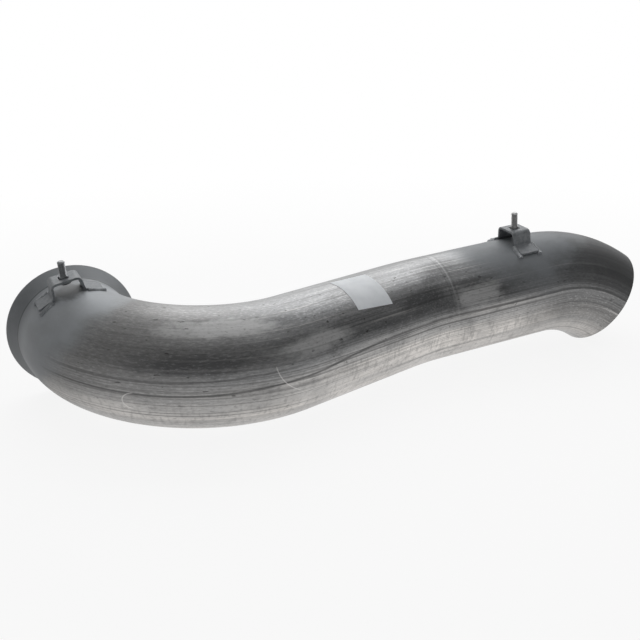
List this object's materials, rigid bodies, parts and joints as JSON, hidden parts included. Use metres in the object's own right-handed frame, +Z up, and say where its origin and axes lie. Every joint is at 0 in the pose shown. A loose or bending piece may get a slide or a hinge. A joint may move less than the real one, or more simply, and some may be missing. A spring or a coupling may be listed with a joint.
{
  "type": "exhaust tailpipe",
  "caption": "Bent steel exhaust pipe with a flared inlet mouth, an open outlet end and welded stud brackets for hanging it.",
  "frame": {"origin": "on the floor under the middle of the part's box, as it lies", "axes": "+Z up from the floor the part lies on, +X along the part towards the outlet, inlet mouth facing +Y"},
  "size_m": [0.7601, 0.2384, 0.1759],
  "materials": {
    "tube_steel": "bare drawn steel with streaks, dull paint at the brackets",
    "bracket_steel": "pressed steel strip under dull grey paint",
    "stud_steel": "dull threaded steel",
    "weld_steel": "rippled weld metal under dull paint",
    "label_film": "plain pale label film"
  },
  "bodies": {
    "root": {"tube": "tube_steel", "front_bracket": "bracket_steel", "rear_bracket": "bracket_steel", "front_stud": "stud_steel", "rear_stud": "stud_steel", "front_welds": "weld_steel", "rear_welds": "weld_steel", "label": "label_film"}
  },
  "joints": []
}
